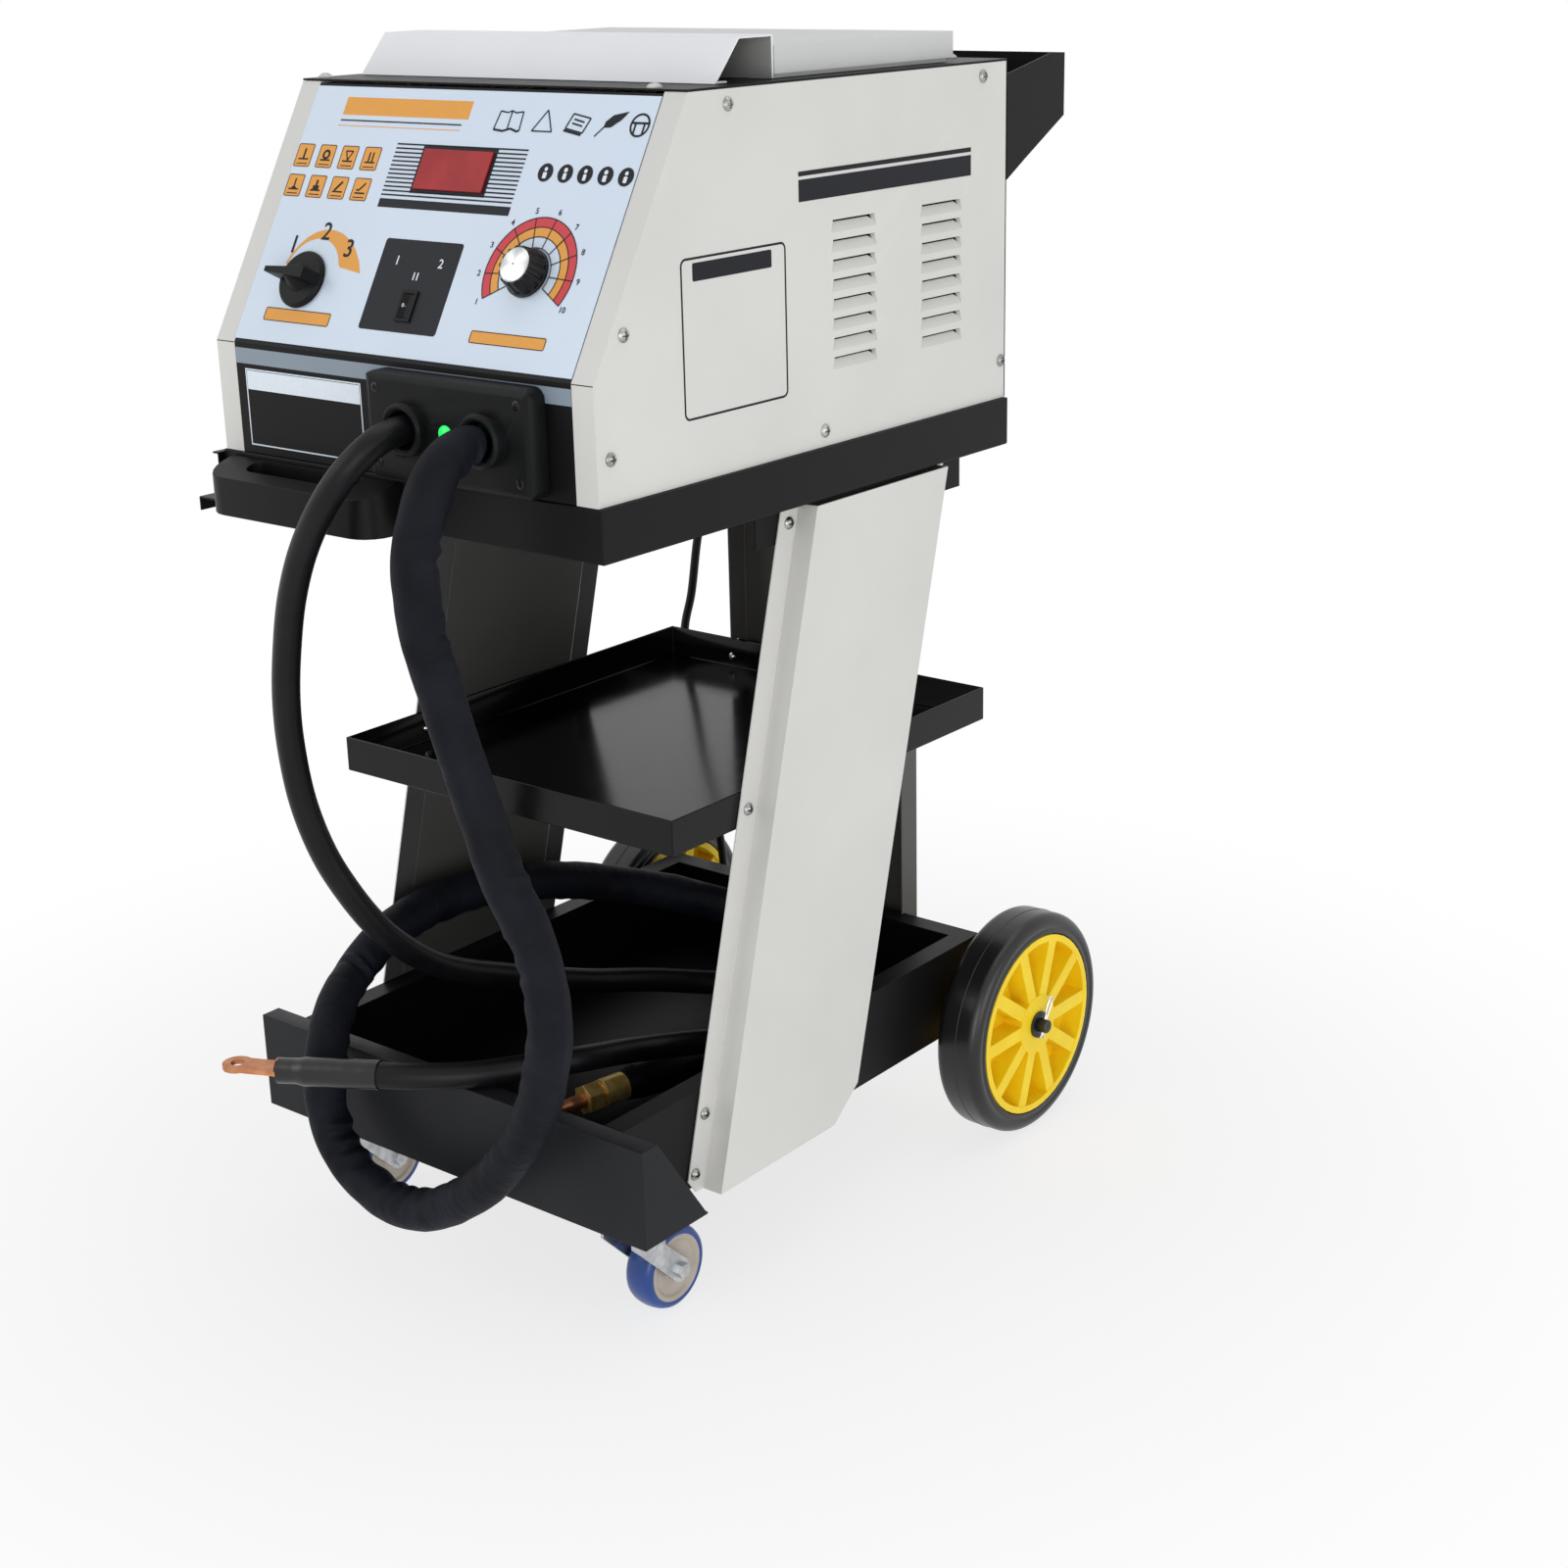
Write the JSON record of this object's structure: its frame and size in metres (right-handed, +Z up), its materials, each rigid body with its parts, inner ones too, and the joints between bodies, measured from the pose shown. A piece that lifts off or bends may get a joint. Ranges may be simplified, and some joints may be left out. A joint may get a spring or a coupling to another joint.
{
  "type": "dent pulling spot welder",
  "caption": "Sheet-metal spot welder with slanted control panel on a wheeled cart with trays, cables and torch.",
  "frame": {"origin": "on the floor below the middle of the object's box, cords left out", "axes": "+Z up, -Y out of the front panel, +X to the right seen from the front"},
  "size_m": [0.48, 0.6992, 0.951],
  "materials": {
    "case_white": "satin powder coat",
    "frame_black": "satin powder coat",
    "shelf_black": "gloss powder coat",
    "panel_blue": "printed film",
    "handle_black": "moulded",
    "knob_black": "moulded",
    "display_red": "tinted window",
    "lamp_green": "tinted lens",
    "rim_yellow": "moulded",
    "tyre_black": "rubber",
    "caster_blue": "tread on a pale hub",
    "steel_zinc": "zinc plated",
    "axle_steel": "turned",
    "core_iron": "stacked sheet",
    "winding_varnish": "varnished winding",
    "copper": "copper",
    "brass": "turned",
    "board_green": "circuit board",
    "sink_aluminium": "extruded",
    "cable_black": "jacket",
    "sleeve_fabric": "coated fabric sleeve"
  },
  "bodies": {
    "cart_and_case": {"base_tray": "frame_black", "front_bar": "frame_black", "leg_cover_left": "case_white", "leg_cover_right": "case_white", "leg_post_left": "frame_black", "leg_post_right": "frame_black", "middle_shelf": "shelf_black", "rear_column": "frame_black", "top_tray": "frame_black", "tray_subframe": "frame_black", "pull_handle": "handle_black", "tool_rail": "frame_black", "axle": "axle_steel", "wheel_washer_left": "steel_zinc", "wheel_washer_right": "steel_zinc", "caster_plate_left": "steel_zinc", "caster_plate_right": "steel_zinc", "case_side_left": "case_white", "case_side_right": "case_white", "front_panel": "frame_black", "panel_overlay": "panel_blue", "case_top": "frame_black", "case_rear": "frame_black", "case_base": "frame_black", "top_hood": "case_white", "top_lid": "case_white", "rear_bin": "frame_black", "gland_box": "frame_black", "indicator_lamp": "lamp_green", "display_window": "display_red", "selector_switch": "knob_black", "timer_control": "steel_zinc", "rocker_housing": "knob_black", "transformer_core": "core_iron", "primary_winding": "winding_varnish", "secondary_winding": "copper", "control_board": "board_green", "thyristor_heatsink": "sink_aluminium", "ground_cable": "cable_black", "ground_lug": "copper", "gun_cable": "sleeve_fabric", "gun_handle": "handle_black", "gun_chuck": "brass", "gun_tip": "copper", "mains_gland": "handle_black", "mains_cord": "cable_black", "cord_coil": "cable_black", "mains_plug": "handle_black"},
    "wheel_left": {"wheel_tyre_left": "tyre_black", "wheel_rim_left": "rim_yellow"},
    "wheel_right": {"wheel_tyre_right": "tyre_black", "wheel_rim_right": "rim_yellow"},
    "caster_left": {"caster_fork_left": "steel_zinc"},
    "caster_right": {"caster_fork_right": "steel_zinc"},
    "caster_roller_left": {"caster_wheel_left": "caster_blue"},
    "caster_roller_right": {"caster_wheel_right": "caster_blue"},
    "selector": {"selector_knob": "knob_black"},
    "timer": {"timer_knob": "knob_black"},
    "rocker": {"rocker_key": "knob_black"}
  },
  "joints": [
    {"name": "wheel_left_spin", "type": "hinge", "parent": "cart_and_case", "child": "wheel_left", "pos_m": [-0.2083, 0.21605, 0.1], "axis": [1, 0, 0], "continuous": true},
    {"name": "caster_left_swivel", "type": "hinge", "parent": "cart_and_case", "child": "caster_left", "pos_m": [-0.1585, -0.24455, 0.088], "axis": [0, 0, 1], "continuous": true},
    {"name": "caster_left_roll", "type": "hinge", "parent": "caster_left", "child": "caster_roller_left", "pos_m": [-0.1585, -0.20965, 0.035], "axis": [1, 0, 0], "continuous": true},
    {"name": "wheel_right_spin", "type": "hinge", "parent": "cart_and_case", "child": "wheel_right", "pos_m": [0.2083, 0.21605, 0.1], "axis": [1, 0, 0], "continuous": true},
    {"name": "caster_right_swivel", "type": "hinge", "parent": "cart_and_case", "child": "caster_right", "pos_m": [0.1585, -0.24455, 0.088], "axis": [0, 0, 1], "continuous": true},
    {"name": "caster_right_roll", "type": "hinge", "parent": "caster_right", "child": "caster_roller_right", "pos_m": [0.1585, -0.20965, 0.035], "axis": [1, 0, 0], "continuous": true},
    {"name": "selector_turn", "type": "hinge", "parent": "cart_and_case", "child": "selector", "pos_m": [-0.1173, -0.25454, 0.7827], "axis": [0, 0.8642, -0.5031], "range_deg": [0, 145]},
    {"name": "timer_turn", "type": "hinge", "parent": "cart_and_case", "child": "timer", "pos_m": [0.103, -0.24412, 0.80059], "axis": [0, 0.8642, -0.5031], "range_deg": [-30, 240]},
    {"name": "rocker_tip", "type": "hinge", "parent": "cart_and_case", "child": "rocker", "pos_m": [-0.0028, -0.26032, 0.77276], "axis": [0, 0.5031, 0.8642], "range_deg": [-18, 0]}
  ]
}
